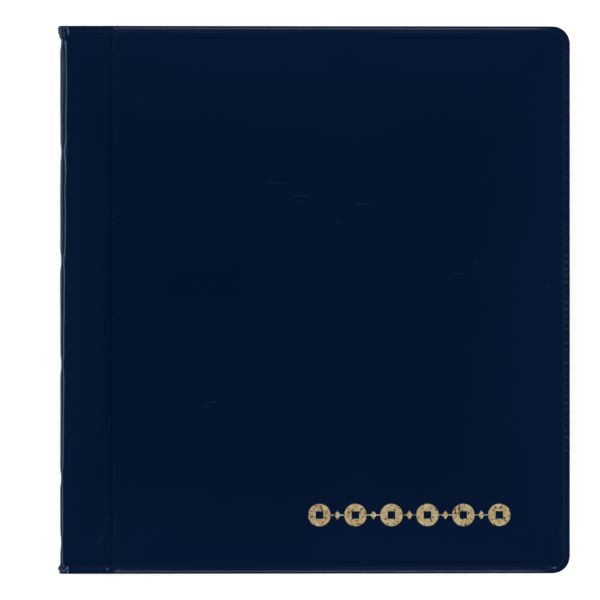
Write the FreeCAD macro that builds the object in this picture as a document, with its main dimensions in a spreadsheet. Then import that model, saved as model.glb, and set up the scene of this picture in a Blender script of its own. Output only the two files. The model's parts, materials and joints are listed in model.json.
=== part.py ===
import FreeCAD, Part
import os
import re
import Sketcher

# Ring album for coins, lying closed on its back cover.
# X runs from the spine to the fore-edge, Y from foot to head, Z up through the thickness.
# The origin is the middle of the footprint, at the height of the surface it lies on.

Vector = FreeCAD.Vector
Turn = FreeCAD.Rotation
Place = FreeCAD.Placement
ACROSS = Vector(1, 0, 0)
ALONG = Vector(0, 1, 0)
UP = Vector(0, 0, 1)

ringCount = 4
leafCount = 20
coinCount = 6

DRIVING = [
    ("AlbumWidth", 247.2, "spine rivet heads to the fore-edge of the back cover"),
    ("AlbumHeight", 265, "foot to head"),
    ("SpineThickness", 35, "outside of the back cover to outside of the front cover"),
    ("StripWidth", 24.2, "outside of the spine to the front hinge seam"),
    ("CoverTilt", 2.7, "degrees the closed front cover slopes down to its fore-edge"),
    ("BoardThickness", 1.6, "greyboard inside each panel"),
    ("FilmThickness", 0.35, "PVC film on each side of a board"),
    ("WeldWidth", 2.0, "flat welded rim outside the board pocket"),
    ("CornerRadius", 8.5, "round fore-edge corners"),
    ("HingeGap", 2.4, "fold axis to the board beside it"),
    ("RingHeadroom", 2.6, "closed ring to the lining over it"),
    ("WireDiameter", 2.6, "ring wire"),
    ("TipGap", 0.03, "half the gap between closed ring tips"),
    ("RootAngle", 50, "degrees from the spine at which the ring bends into its leg"),
    ("RootBend", 2.5, "radius of that bend"),
    ("RingFoot", 3.2, "ring centreline above the lining if the circle were whole"),
    ("RingEndInset", 17, "end ring to the end of the plate"),
    ("PlateGauge", 0.7, "sheet steel of the top plate"),
    ("PlateRise", 5.0, "top plate above the lining"),
    ("PlateEndInset", 12, "end of the leaves to the end of the plate"),
    ("PlateShoulder", 2.9, "ring leg to the side of the plate"),
    ("PlateSideShare", 0.48, "height of the plate's upright side, as a share of its rise"),
    ("PlateCrownShare", 0.6, "flat crown of the plate, as a share of its width"),
    ("MitreShare", 0.4, "inner bend line of the plate beside its outer one, as a share of the gauge"),
    ("LipWidth", 1.6, "side of the plate to the edge of its folded lip"),
    ("BladeGauge", 1.0, "hinged blade under the plate"),
    ("BladeClearance", 0.1, "running gap around the blades"),
    ("BladeEndInset", 6.5, "end of the plate to the end of the blades"),
    ("SlotClearance", 0.6, "plate slot around a ring leg"),
    ("BendRoom", 0.7, "extra width of the slot where the ring bends out"),
    ("RivetDiameter", 3.0, "spine rivet shank"),
    ("RivetHeadDiameter", 8.0, "spine rivet head"),
    ("RivetHead", 0.5, "height of both rivet heads"),
    ("RivetInnerHead", 6.0, "rivet head on the plate"),
    ("RivetRoom", 2.0, "extra diameter of the blades' relief around a rivet"),
    ("LeverGauge", 1.2, "thumb lever sheet"),
    ("LeverWidth", 9.0, "thumb lever along its own pin line"),
    ("LeverReach", 7.9, "height of the lever's thumb pad"),
    ("LeverLean", 2.7, "how far the thumb pad leans outward over its height"),
    ("LeverTongue", 1.5, "lever past its pin line, under the plate"),
    ("LeverBend", 3.6, "pin line to the foot of the thumb pad"),
    ("LeverInset", 2.6, "lever pin line to the end of the plate"),
    ("LeverGap", 0.4, "blade to the lever over it"),
    ("HeadMargin", 7.5, "end of the leaves to the end of the cover"),
    ("ForeMargin", 20, "leaves to the fore-edge of the back cover"),
    ("SheetThickness", 0.35, "two welded clear films"),
    ("CardThickness", 0.3, "card between the sheets"),
    ("LeafGap", 0.12, "air between neighbouring leaves at the rings"),
    ("LeafLift", 0.45, "fore-edge of the outer leaves to the lining"),
    ("HoleDiameter", 6.5, "punched hole"),
    ("HoleEdge", 6.0, "hole centre to the binding edge"),
    ("HoleOffset", 0.5, "hole centre outside the ring wire's"),
    ("BindingStrip", 15, "binding edge to the first pocket"),
    ("PocketWeld", 1.6, "weld line between two pockets"),
    ("PocketDepth", 0.1, "air inside an empty pocket"),
    ("SlitHeight", 1.0, "mouth of a pocket"),
    ("SlitDrop", 1.0, "weld above a pocket to its mouth"),
    ("SlitInset", 2.4, "side of a pocket to the end of its mouth"),
    ("CardInset", 1.0, "card inside the sheet's outline"),
    ("FoilLength", 98, "stamped foil ornament"),
    ("FoilHeight", 10.8, "stamped foil ornament"),
    ("FoilThickness", 0.06, "foil on the film"),
    ("FoilForeMargin", 29, "foil to the fore-edge"),
    ("FoilFootMargin", 23, "foil to the foot"),
    ("FoilRule", 0.5, "fine rule through the ornament"),
    ("CoinHoleShare", 0.34, "square hole of a foil coin, as a share of its diameter"),
    ("LozengeWidthShare", 0.28, "foil lozenge across, as a share of a coin's diameter"),
    ("LozengeHeightShare", 0.4, "foil lozenge from foot to head, as a share of a coin's diameter"),
]

DERIVED = [
    ("PanelThickness", "=BoardThickness + 2 * FilmThickness"),
    ("SpineFace", "=-AlbumWidth / 2 + RivetHead"),
    ("FoldX", "=SpineFace + PanelThickness / 2"),
    ("SeamX", "=SpineFace + StripWidth"),
    ("LowFold", "=PanelThickness / 2"),
    ("HighFold", "=SpineThickness - PanelThickness / 2"),
    ("LiningX", "=SpineFace + PanelThickness"),
    ("MiddleZ", "=SpineThickness / 2"),
    ("HalfHeight", "=AlbumHeight / 2"),
    ("HalfRim", "=HalfHeight - WeldWidth"),
    ("HalfBoard", "=HalfRim - FilmThickness"),
    ("SpineSpan", "=HighFold - LowFold"),
    ("StripSpan", "=SeamX - FoldX"),
    ("CoverSpan", "=AlbumWidth / 2 - SeamX"),
    ("RimRadius", "=CornerRadius - WeldWidth"),
    ("BoardRadius", "=RimRadius - FilmThickness"),
    ("RollOuter", "=HingeGap + PanelThickness / 2"),
    ("RollInner", "=RollOuter - PanelThickness"),
    ("InnerHalf", "=SpineThickness / 2 - PanelThickness"),
    ("RingRadius", "=InnerHalf - RingHeadroom - WireDiameter / 2"),
    ("RingRise", "=RingRadius + RingFoot"),
    ("RingX", "=LiningX + RingRise"),
    ("LegBendN", "=RingRise - (RingRadius + RootBend) * cos(RootAngle)"),
    ("LegBendT", "=(RingRadius + RootBend) * sin(RootAngle)"),
    ("LegT", "=LegBendT - RootBend"),
    ("PlateHalf", "=LegT + PlateShoulder"),
    ("PlateInner", "=PlateHalf - PlateGauge"),
    ("LeafHeight", "=AlbumHeight - 2 * HeadMargin"),
    ("PlateLength", "=LeafHeight - 2 * PlateEndInset"),
    ("PlateSide", "=PlateRise * PlateSideShare"),
    ("PlateCrown", "=PlateHalf * PlateCrownShare"),
    ("PlateMitre", "=PlateGauge * MitreShare"),
    ("RingPitch", "=(PlateLength - 2 * RingEndInset) / %d" % (ringCount - 1)),
    ("BladeLow", "=PlateGauge + BladeClearance"),
    ("BladeHigh", "=BladeLow + BladeGauge"),
    ("BladeEdge", "=PlateInner - BladeClearance"),
    ("LeverPinN", "=BladeHigh + LeverGap + LeverGauge / 2"),
    ("LeverPinY", "=PlateLength / 2 - LeverInset"),
    ("LeverSlope", "=sqrt(LeverReach ^ 2 + LeverLean ^ 2)"),
    ("PadTipN", "=LeverReach - LeverGauge / 2 + LeverGauge * LeverLean / LeverSlope"),
    ("PadTipY", "=LeverBend + LeverLean - LeverGauge * LeverReach / LeverSlope"),
    ("PadRootY", "=PadTipY - (PadTipN - LeverGauge / 2) * LeverLean / LeverReach"),
    ("BladeLength", "=PlateLength - 2 * BladeEndInset"),
    ("LeafPitch", "=(SheetThickness + CardThickness) / 2 + LeafGap"),
    ("LeafWidth", "=AlbumWidth / 2 - ForeMargin - RingX - RingRadius - HoleOffset + HoleEdge"),
    ("LeafReach", "=RingRadius + HoleOffset - HoleEdge + LeafWidth"),
    ("StackHalf", "=%d * LeafPitch" % (leafCount // 2)),
    ("LowTilt", "=-asin((RingRise - StackHalf - LeafLift) / LeafReach) / 1 deg"),
    ("CoverDrop", "=(LeafReach + RingX - SeamX) * tan(CoverTilt)"),
    ("CoverInside", "=SpineSpan / 2 - CoverDrop - PanelThickness / 2 / cos(CoverTilt)"),
    ("HighTilt", "=asin((CoverInside - StackHalf - LeafLift) / LeafReach) / 1 deg"),
    ("TiltStep", "=(HighTilt - LowTilt) / %d" % (leafCount - 1)),
    ("FoilX", "=CoverSpan - FoilForeMargin - FoilLength / 2"),
    ("FoilY", "=-HalfHeight + FoilFootMargin + FoilHeight / 2"),
    ("FirstCoin", "=FoilX - (FoilLength - FoilHeight) / 2"),
    ("LastCoin", "=FoilX + (FoilLength - FoilHeight) / 2"),
    ("CoinPitch", "=(FoilLength - FoilHeight) / %d" % (coinCount - 1)),
    ("CoinHoleHalf", "=FoilHeight * CoinHoleShare / 2"),
    ("LozengeX", "=FirstCoin + CoinPitch / 2"),
    ("LozengeHalfX", "=FoilHeight * LozengeWidthShare / 2"),
    ("LozengeHalfY", "=FoilHeight * LozengeHeightShare / 2"),
]

doc = FreeCAD.newDocument("CoinAlbum")
sheet = doc.addObject("Spreadsheet::Sheet", "Dimensions")
row = 0
for alias, size, meaning in DRIVING:
    row += 1
    sheet.set("A%d" % row, alias)
    sheet.set("B%d" % row, str(size))
    sheet.set("C%d" % row, meaning)
    sheet.setAlias("B%d" % row, alias)
for alias, formula in DERIVED:
    row += 1
    sheet.set("A%d" % row, alias)
    sheet.set("B%d" % row, formula)
    sheet.setAlias("B%d" % row, alias)
doc.recompute()

subParts = []


def dim(text):
    """The expression with each capitalised word taken from the sheet."""
    return re.sub(r"\b[A-Z]\w+", r"Dimensions.\g<0>", text)


def bind(thing, name, text):
    thing.setExpression(name, dim(text))


def put(thing, x="0", y="0", z="0", axis=UP, angle=0.0, turn=None):
    """Place a sub-part by expressions, turned about one axis by a number or an expression."""
    thing.Placement = Place(Vector(), Turn(axis, angle if turn is None else 1.0))
    for letter, text in (("x", x), ("y", y), ("z", z)):
        bind(thing, "Placement.Base." + letter, text)
    if turn is not None:
        bind(thing, "Placement.Rotation.Angle", turn)


def newBody(label):
    body = doc.addObject("PartDesign::Body", label.replace("_", " ").title().replace(" ", ""))
    body.Label = label
    subParts.append(body)
    return body


def newSketch(body, name, role, lift=None):
    sketch = body.newObject("Sketcher::SketchObject", name)
    plane = next(f for f in body.Origin.OriginFeatures if f.Role == role)
    sketch.AttachmentSupport = [(plane, "")]
    sketch.MapMode = "FlatFace"
    if lift:
        bind(sketch, "AttachmentOffset.Base.z", lift)
    return sketch


def fix(sketch, kind, text, *where):
    """A named dimensional constraint whose value follows an expression."""
    index = sketch.addConstraint(Sketcher.Constraint(kind, *where))
    name = "place%d" % index
    sketch.renameConstraint(index, name)
    bind(sketch, "Constraints." + name, text)


def corner(sketch, edge, end, x, y):
    """Tie one end of an edge to a point given by two expressions."""
    at = sketch.getPoint(edge, end)
    fix(sketch, "DistanceX", x, -1, 1, edge, end, at.x)
    fix(sketch, "DistanceY", y, -1, 1, edge, end, at.y)


def polygon(body, name, role, corners, lift=None):
    """A closed outline of straight edges through points given by pairs of expressions."""
    sketch = newSketch(body, name, role, lift)
    count = len(corners)
    guess = [Vector(10 + index, (index * index) % 7 + 1, 0) for index in range(count)]
    for index in range(count):
        sketch.addGeometry(Part.LineSegment(guess[index], guess[(index + 1) % count]))
    for index in range(count):
        sketch.addConstraint(Sketcher.Constraint("Coincident", index, 2, (index + 1) % count, 1))
    for index, (x, y) in enumerate(corners):
        corner(sketch, index, 1, x, y)
    return sketch


def rectangle(body, name, role, x0, x1, y0, y1, lift=None):
    return polygon(body, name, role, [(x0, y0), (x1, y0), (x1, y1), (x0, y1)], lift)


def roundedPlate(body, name, near, far, half, radius, lift=None):
    """A plate outline, square at its near side and with round corners at its far side."""
    sketch = newSketch(body, name, "XY_Plane", lift)
    line = Part.LineSegment
    foot = sketch.addGeometry(line(Vector(0, -100, 0), Vector(190, -100, 0)))
    low = sketch.addGeometry(Part.ArcOfCircle(Part.Circle(Vector(190, -90, 0), UP, 10), -1.5708, 0))
    fore = sketch.addGeometry(line(Vector(200, -90, 0), Vector(200, 90, 0)))
    high = sketch.addGeometry(Part.ArcOfCircle(Part.Circle(Vector(190, 90, 0), UP, 10), 0, 1.5708))
    head = sketch.addGeometry(line(Vector(190, 100, 0), Vector(0, 100, 0)))
    back = sketch.addGeometry(line(Vector(0, 100, 0), Vector(0, -100, 0)))
    for one, other in ((foot, low), (low, fore), (fore, high), (high, head)):
        sketch.addConstraint(Sketcher.Constraint("Tangent", one, 2, other, 1))
    for one, other in ((head, back), (back, foot)):
        sketch.addConstraint(Sketcher.Constraint("Coincident", one, 2, other, 1))
    for edge, kind in ((foot, "Horizontal"), (fore, "Vertical"), (head, "Horizontal"), (back, "Vertical")):
        sketch.addConstraint(Sketcher.Constraint(kind, edge))
    sketch.addConstraint(Sketcher.Constraint("Equal", low, high))
    fix(sketch, "Radius", radius, low, 10.0)
    fix(sketch, "DistanceX", near, -1, 1, back, 1, 0.0)
    fix(sketch, "DistanceX", far, -1, 1, fore, 1, 200.0)
    fix(sketch, "DistanceY", half, -1, 1, back, 1, 100.0)
    fix(sketch, "DistanceY", "-(%s)" % half, -1, 1, back, 2, -100.0)
    return sketch


def pad(body, sketch, name, length, middle=False, back=False):
    feature = body.newObject("PartDesign::Pad", name)
    feature.Profile = sketch
    feature.Midplane = middle
    feature.Reversed = back
    bind(feature, "Length", length)
    return feature


def pocket(body, sketch, name, length, middle=False, back=False):
    feature = body.newObject("PartDesign::Pocket", name)
    feature.Profile = sketch
    feature.Midplane = middle
    feature.Reversed = back
    bind(feature, "Length", length)
    return feature


# Case panels. Each is drawn lying in its own XY plane, out from the axis it turns about,
# with its middle at z = 0 and its outside up.

def board(label, near, far, rounded):
    body = newBody(label)
    if rounded:
        outline = roundedPlate(body, "Outline", near, far, "HalfBoard", "BoardRadius")
    else:
        outline = rectangle(body, "Outline", "XY_Plane", near, far, "-HalfBoard", "HalfBoard")
    pad(body, outline, "Board", "BoardThickness", middle=True)
    return body


def film(label, tubs, rim):
    """One film: a flat rim in the middle plane and a tub over each board.

    tubs holds (near, far, nearWall, farWall, rounded) for each board, rim holds (near, far, rounded).
    """
    body = newBody(label)
    half = "HalfRim + WeldWidth"
    near, far, rounded = rim
    if rounded:
        outline = roundedPlate(body, "RimOutline", near, far, half, "CornerRadius")
    else:
        outline = rectangle(body, "RimOutline", "XY_Plane", near, far, "-(%s)" % half, half)
    pad(body, outline, "Rim", "FilmThickness")
    for number, (near, far, nearWall, farWall, rounded) in enumerate(tubs, 1):
        nearSide = near + (" - FilmThickness" if nearWall else "")
        farSide = far + (" + FilmThickness" if farWall else "")
        if rounded:
            outline = roundedPlate(body, "TubOutline%d" % number, nearSide, farSide, "HalfRim", "RimRadius")
            hollow = roundedPlate(body, "Hollow%d" % number, near, far, "HalfBoard", "BoardRadius")
        else:
            outline = rectangle(body, "TubOutline%d" % number, "XY_Plane", nearSide, farSide,
                                "-HalfRim", "HalfRim")
            hollow = rectangle(body, "Hollow%d" % number, "XY_Plane", near, far, "-HalfBoard", "HalfBoard")
        pad(body, outline, "Tub%d" % number, "PanelThickness / 2")
        pocket(body, hollow, "BoardPocket%d" % number, "BoardThickness / 2", back=True)
    return body


def onBack(body, outside):
    put(body, "FoldX", "0", "LowFold", ACROSS, 180 if outside else 0)


def onSpine(body, outside):
    body.Placement = Place(Vector(), Turn(ALONG, -90) * Turn(ACROSS, 0 if outside else 180))
    bind(body, "Placement.Base.x", "FoldX")
    bind(body, "Placement.Base.z", "LowFold")


def onStrip(body, outside):
    put(body, "FoldX", "0", "HighFold", ACROSS, 0 if outside else 180)


def onCover(body, outside):
    """The front cover slopes; its lining is the outer film's shape turned over."""
    tilt = sheet.get("CoverTilt")
    body.Placement = Place(Vector(), Turn(ALONG, tilt) * Turn(ACROSS, 0 if outside else 180))
    if outside:
        put(body, "SeamX", "0", "HighFold", ALONG, turn="CoverTilt")
        return
    bind(body, "Placement.Base.x", "SeamX")
    bind(body, "Placement.Base.z", "HighFold")


coverEnd = "CoverSpan - WeldWidth - FilmThickness"
stripEnd = "StripSpan - HingeGap"
backStart = "StripSpan + HingeGap"
backEnd = "StripSpan + " + coverEnd

onCover(board("front_board", "HingeGap", coverEnd, True), True)
onStrip(board("front_strip_board", "HingeGap", stripEnd, False), True)
onSpine(board("spine_board", "HingeGap", "SpineSpan - HingeGap", False), True)
onBack(board("back_strip_board", "HingeGap", stripEnd, False), True)
onBack(board("back_board", backStart, backEnd, True), True)

for outside, kind in ((True, "outer_film"), (False, "lining")):
    onCover(film("front_" + kind, [("HingeGap", coverEnd, True, True, True)],
                 ("HingeGap - FilmThickness", "CoverSpan", True)), outside)
    onStrip(film("front_strip_" + kind, [("HingeGap", stripEnd, False, True, False)],
                 ("HingeGap", stripEnd + " + FilmThickness", False)), outside)
    onSpine(film("spine_" + kind, [("HingeGap", "SpineSpan - HingeGap", False, False, False)],
                 ("HingeGap", "SpineSpan - HingeGap", False)), outside)
    onBack(film("back_" + kind, [("HingeGap", stripEnd, False, True, False),
                                 (backStart, backEnd, True, True, True)],
                ("HingeGap", "AlbumWidth / 2 - FoldX", True)), outside)


# Fold rolls: the film runs round each edge of the spine as a hollow roll, welded shut at head and foot.

def foldRoll(label, z, angle):
    body = newBody(label)
    skin = rectangle(body, "RollSection", "XY_Plane", "RollInner", "RollOuter", "-HalfHeight", "HalfHeight")
    roll = body.newObject("PartDesign::Revolution", "Roll")
    roll.Profile = skin
    roll.ReferenceAxis = (skin, ["V_Axis"])
    roll.Angle = 90
    air = rectangle(body, "AirSection", "XY_Plane", "RollInner + FilmThickness",
                    "RollOuter - FilmThickness", "-HalfRim", "HalfRim")
    hollow = body.newObject("PartDesign::Groove", "Hollow")
    hollow.Profile = air
    hollow.ReferenceAxis = (air, ["V_Axis"])
    hollow.Angle = 90
    put(body, "SpineFace + RollOuter", "0", z, ALONG, angle)


foldRoll("back_fold_roll", "RollOuter", 90)
foldRoll("front_fold_roll", "SpineThickness - RollOuter", 180)

# Hinge seam: both films welded into one band that bends where the front cover starts.
seam = newBody("front_seam_band")
reach = "(HingeGap - FilmThickness)"
bend = "FilmThickness * tan(CoverTilt / 2)"
band = polygon(seam, "Section", "XZ_Plane", [
    ("-" + reach, "-FilmThickness"),
    ("-" + bend, "-FilmThickness"),
    (reach + " * cos(CoverTilt) - FilmThickness * sin(CoverTilt)",
     "-" + reach + " * sin(CoverTilt) - FilmThickness * cos(CoverTilt)"),
    (reach + " * cos(CoverTilt) + FilmThickness * sin(CoverTilt)",
     "-" + reach + " * sin(CoverTilt) + FilmThickness * cos(CoverTilt)"),
    (bend, "FilmThickness"),
    ("-" + reach, "FilmThickness"),
])
pad(seam, band, "Band", "AlbumHeight", middle=True)
put(seam, "SeamX", "0", "HighFold")

# Stamped foil: a row of round coins with square holes on a fine rule, small lozenges between them.

def repeatFoil(original, direction, count, length):
    pattern = foil.newObject("PartDesign::LinearPattern", original[0].Name + "Row")
    pattern.Originals = original
    pattern.Direction = (direction, ["H_Axis"])
    pattern.Occurrences = count
    bind(pattern, "Length", length)
    foil.Tip = pattern


foil = newBody("foil_ornament")
foilBase = "PanelThickness / 2"
rule = rectangle(foil, "RuleOutline", "XY_Plane", "FirstCoin", "LastCoin", "FoilY - FoilRule / 2",
                 "FoilY + FoilRule / 2", foilBase)
pad(foil, rule, "Rule", "FoilThickness")
coin = newSketch(foil, "CoinOutline", "XY_Plane", foilBase)
coinEdge = coin.addGeometry(Part.Circle(Vector(100, -100, 0), UP, 5))
corner(coin, coinEdge, 3, "FirstCoin", "FoilY")
fix(coin, "Diameter", "FoilHeight", coinEdge, 10.0)
coinPad = pad(foil, coin, "Coin", "FoilThickness")
coinHole = rectangle(foil, "HoleOutline", "XY_Plane", "FirstCoin - CoinHoleHalf", "FirstCoin + CoinHoleHalf",
                     "FoilY - CoinHoleHalf", "FoilY + CoinHoleHalf", foilBase)
holePocket = pocket(foil, coinHole, "CoinHole", "FoilThickness", back=True)
repeatFoil([coinPad, holePocket], coin, coinCount, "LastCoin - FirstCoin")
lozenge = polygon(foil, "LozengeOutline", "XY_Plane", [
    ("LozengeX - LozengeHalfX", "FoilY"),
    ("LozengeX", "FoilY - LozengeHalfY"),
    ("LozengeX + LozengeHalfX", "FoilY"),
    ("LozengeX", "FoilY + LozengeHalfY"),
], foilBase)
lozengePad = pad(foil, lozenge, "Lozenge", "FoilThickness")
repeatFoil([lozengePad], lozenge, coinCount - 1, "LastCoin - FirstCoin - CoinPitch")
put(foil, "SeamX", "0", "HighFold", ALONG, turn="CoverTilt")


# Ring mechanism, drawn with x out of the spine lining, y along the spine and z towards the front cover.

def onMechanism(body, y="0", axis=UP, angle=0.0):
    put(body, "LiningX", y, "MiddleZ", axis, angle)


def rowOfFour(body, original, axis):
    """Repeat a cut at the four rings."""
    pattern = body.newObject("PartDesign::LinearPattern", original.Name + "Row")
    pattern.Originals = [original]
    pattern.Direction = axis
    pattern.Occurrences = ringCount
    bind(pattern, "Length", "%d * RingPitch" % (ringCount - 1))
    body.Tip = pattern


plate = newBody("ring_plate")
lip = "(PlateHalf - LipWidth)"
archSection = [
    ("0", "PlateHalf"),
    ("PlateSide", "PlateHalf"),
    ("PlateRise", "PlateCrown"),
    ("PlateRise", "-PlateCrown"),
    ("PlateSide", "-PlateHalf"),
    ("0", "-PlateHalf"),
    ("0", "-" + lip),
    ("PlateGauge", "-" + lip),
    ("PlateGauge", "-PlateInner"),
    ("PlateSide - PlateMitre", "-PlateInner"),
    ("PlateRise - PlateGauge", "-PlateCrown + PlateMitre"),
    ("PlateRise - PlateGauge", "PlateCrown - PlateMitre"),
    ("PlateSide - PlateMitre", "PlateInner"),
    ("PlateGauge", "PlateInner"),
    ("PlateGauge", lip),
    ("0", lip),
]
section = polygon(plate, "Section", "XZ_Plane", archSection)
pad(plate, section, "Arch", "PlateLength", middle=True)
legSide = "(WireDiameter / 2 + SlotClearance)"
stations = [str(index - (ringCount - 1) / 2) for index in range(ringCount)]
firstRing = stations[0] + " * RingPitch"
for side, sign in (("Upper", ""), ("Lower", "-")):
    slot = rectangle(plate, side + "Slot", "YZ_Plane",
                     firstRing + " - " + legSide, firstRing + " + " + legSide,
                     "%s(LegT - %s)" % (sign, legSide), "%s(LegT + %s + BendRoom)" % (sign, legSide),
                     "BladeHigh")
    cut = pocket(plate, slot, side + "LegSlot", "PlateRise", back=True)
    rowOfFour(plate, cut, (slot, ["H_Axis"]))


def rivetCircles(body, name, role, diameter, across="0", lift=None):
    """A circle for each of the two rivets, one ring pitch either side of the middle."""
    sketch = newSketch(body, name, role, lift)
    for index, sign in enumerate(("", "-")):
        if role == "XY_Plane":
            circle = sketch.addGeometry(Part.Circle(Vector(15, 60 - 120 * index, 0), UP, 1.5))
            corner(sketch, circle, 3, across, sign + "RingPitch")
        else:
            circle = sketch.addGeometry(Part.Circle(Vector(60 - 120 * index, 0, 0), UP, 1.5))
            fix(sketch, "DistanceX", sign + "RingPitch", -1, 1, circle, 3, 60.0 - 120 * index)
            sketch.addConstraint(Sketcher.Constraint("PointOnObject", circle, 3, -1))
        fix(sketch, "Diameter", diameter, circle, 3.0)
    return sketch


rivetHoles = rivetCircles(plate, "RivetHoles", "YZ_Plane", "RivetDiameter")
pocket(plate, rivetHoles, "RivetHole", "PlateRise", back=True)
onMechanism(plate)

for side, angle in (("upper", 0), ("lower", 180)):
    blade = newBody(side + "_blade")
    outline = rectangle(blade, "Outline", "YZ_Plane", "-BladeLength / 2", "BladeLength / 2",
                        "BladeClearance / 2", "BladeEdge", "BladeLow")
    pad(blade, outline, "Blade", "BladeGauge")
    relief = rivetCircles(blade, "RivetRelief", "YZ_Plane", "RivetDiameter + RivetRoom", lift="BladeLow")
    pocket(blade, relief, "Relief", "BladeGauge", back=True)
    onMechanism(blade, axis=ACROSS, angle=angle)


def ringHalf(label, station, angle):
    """Half a ring: a long arc from its tip, a short bend and a straight leg down to the blade."""
    body = newBody(label)
    path = newSketch(body, "Path", "XZ_Plane")
    # only near the final shape; the constraints set the sizes
    radius, bendRadius, rise = 11.3, 2.5, 14.5
    around = Vector(rise, 0, 0)
    legBend = Vector(5.6, 10.6, 0)
    long = path.addGeometry(Part.ArcOfCircle(Part.Circle(around, UP, radius), 0.01, 2.27))
    short = path.addGeometry(Part.ArcOfCircle(Part.Circle(legBend, UP, bendRadius), -1.57, -0.87))
    leg = path.addGeometry(Part.LineSegment(Vector(5.6, 8.1, 0), Vector(1.8, 8.1, 0)))
    fix(path, "DistanceX", "RingRise", -1, 1, long, 3, rise)
    path.addConstraint(Sketcher.Constraint("PointOnObject", long, 3, -1))
    fix(path, "Radius", "RingRadius", long, radius)
    fix(path, "DistanceY", "TipGap", -1, 1, long, 1, 0.1)
    fix(path, "DistanceY", "RingRadius * sin(RootAngle)", -1, 1, long, 2, 8.6)
    path.addConstraint(Sketcher.Constraint("Coincident", short, 2, long, 2))
    corner(path, short, 3, "LegBendN", "LegBendT")
    fix(path, "DistanceX", "LegBendN", -1, 1, short, 1, 5.6)
    path.addConstraint(Sketcher.Constraint("Coincident", leg, 1, short, 1))
    path.addConstraint(Sketcher.Constraint("Horizontal", leg))
    fix(path, "DistanceX", "BladeHigh", -1, 1, leg, 2, 1.8)
    wire = newSketch(body, "Wire", "YZ_Plane", "BladeHigh")
    circle = wire.addGeometry(Part.Circle(Vector(0, 8, 0), UP, 1.3))
    wire.addConstraint(Sketcher.Constraint("PointOnObject", circle, 3, -2))
    fix(wire, "DistanceY", "LegT", -1, 1, circle, 3, 8.0)
    fix(wire, "Diameter", "WireDiameter", circle, 2.6)
    doc.recompute()
    bar = body.newObject("PartDesign::AdditivePipe", "Bar")
    bar.Profile = wire
    bar.Spine = (path, ["Edge1", "Edge2", "Edge3"])
    onMechanism(body, "%s * RingPitch" % station, ACROSS, angle)


for number, station in enumerate(stations, 1):
    ringHalf("upper_ring_%d" % number, station, 0)
    ringHalf("lower_ring_%d" % number, station, 180)

# Thumb levers: a tongue under the end of the plate and a pad standing out beyond it.
for end, axis, angle in (("head", UP, 0), ("foot", ACROSS, 180)):
    lever = newBody(end + "_lever")
    profile = polygon(lever, "Profile", "XY_Plane", [
        ("-LeverGauge / 2", "-LeverTongue"),
        ("-LeverGauge / 2", "LeverBend"),
        ("LeverReach - LeverGauge / 2", "LeverBend + LeverLean"),
        ("PadTipN", "PadTipY"),
        ("LeverGauge / 2", "PadRootY"),
        ("LeverGauge / 2", "-LeverTongue"),
    ])
    pad(lever, profile, "Lever", "LeverWidth", middle=True)
    put(lever, "LiningX + LeverPinN", "%s * LeverPinY" % (1 if end == "head" else -1), "MiddleZ",
        axis, angle)

# Spine rivets: each runs from a low head outside the spine to a head on the plate.
rivetPieces = []
for end, sign in (("Head", "1"), ("Foot", "-1")):
    for name, size, start, length in (
        ("Shank", "RivetDiameter", "SpineFace", "PanelThickness + PlateRise"),
        ("OuterHead", "RivetHeadDiameter", "SpineFace - RivetHead", "RivetHead"),
        ("InnerHead", "RivetInnerHead", "LiningX + PlateRise", "RivetHead"),
    ):
        piece = doc.addObject("Part::Cylinder", end + name)
        bind(piece, "Radius", "(%s) / 2" % size)
        bind(piece, "Height", length)
        put(piece, start, "%s * RingPitch" % sign, "MiddleZ", ALONG, 90)
        rivetPieces.append(piece)
rivets = doc.addObject("Part::MultiFuse", "SpineRivets")
rivets.Shapes = rivetPieces
rivets.Label = "spine_rivets"
subParts.append(rivets)
boredNames = ("spine_board", "spine_outer_film", "spine_lining")
for body in [part for part in subParts if part.Label in boredNames]:
    bore = rivetCircles(body, "RivetBores", "XY_Plane", "RivetDiameter", "SpineSpan / 2", "-PanelThickness")
    pocket(body, bore, "RivetBore", "2 * PanelThickness", back=True)


# Leaves, counted from the back cover. Each is drawn around the line of its holes.

def hang(body, order):
    """Set a leaf on the rings, the order-th from the back cover."""
    tilt = "(LowTilt + TiltStep * %d)" % order
    depth = "(LeafPitch * %s)" % (order - (leafCount - 1) / 2)
    hole = "(sqrt(RingRadius ^ 2 - %s ^ 2) + HoleOffset)" % depth
    put(body, "RingX + %s * cos(%s) - %s * sin(%s)" % (hole, tilt, depth, tilt), "0",
        "MiddleZ + %s * sin(%s) + %s * cos(%s)" % (hole, tilt, depth, tilt), ALONG, turn="-" + tilt)


def punch(body, length):
    """Round holes on the ring line, one for each ring."""
    sketch = newSketch(body, "Holes", "XY_Plane")
    for station in stations:
        guess = 60 * float(station)
        circle = sketch.addGeometry(Part.Circle(Vector(0, guess, 0), UP, 3))
        sketch.addConstraint(Sketcher.Constraint("PointOnObject", circle, 3, -2))
        fix(sketch, "DistanceY", station + " * RingPitch", -1, 1, circle, 3, guess)
        fix(sketch, "Diameter", "HoleDiameter", circle, 6.0)
    pocket(body, sketch, "Hole", length, middle=True)


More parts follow.
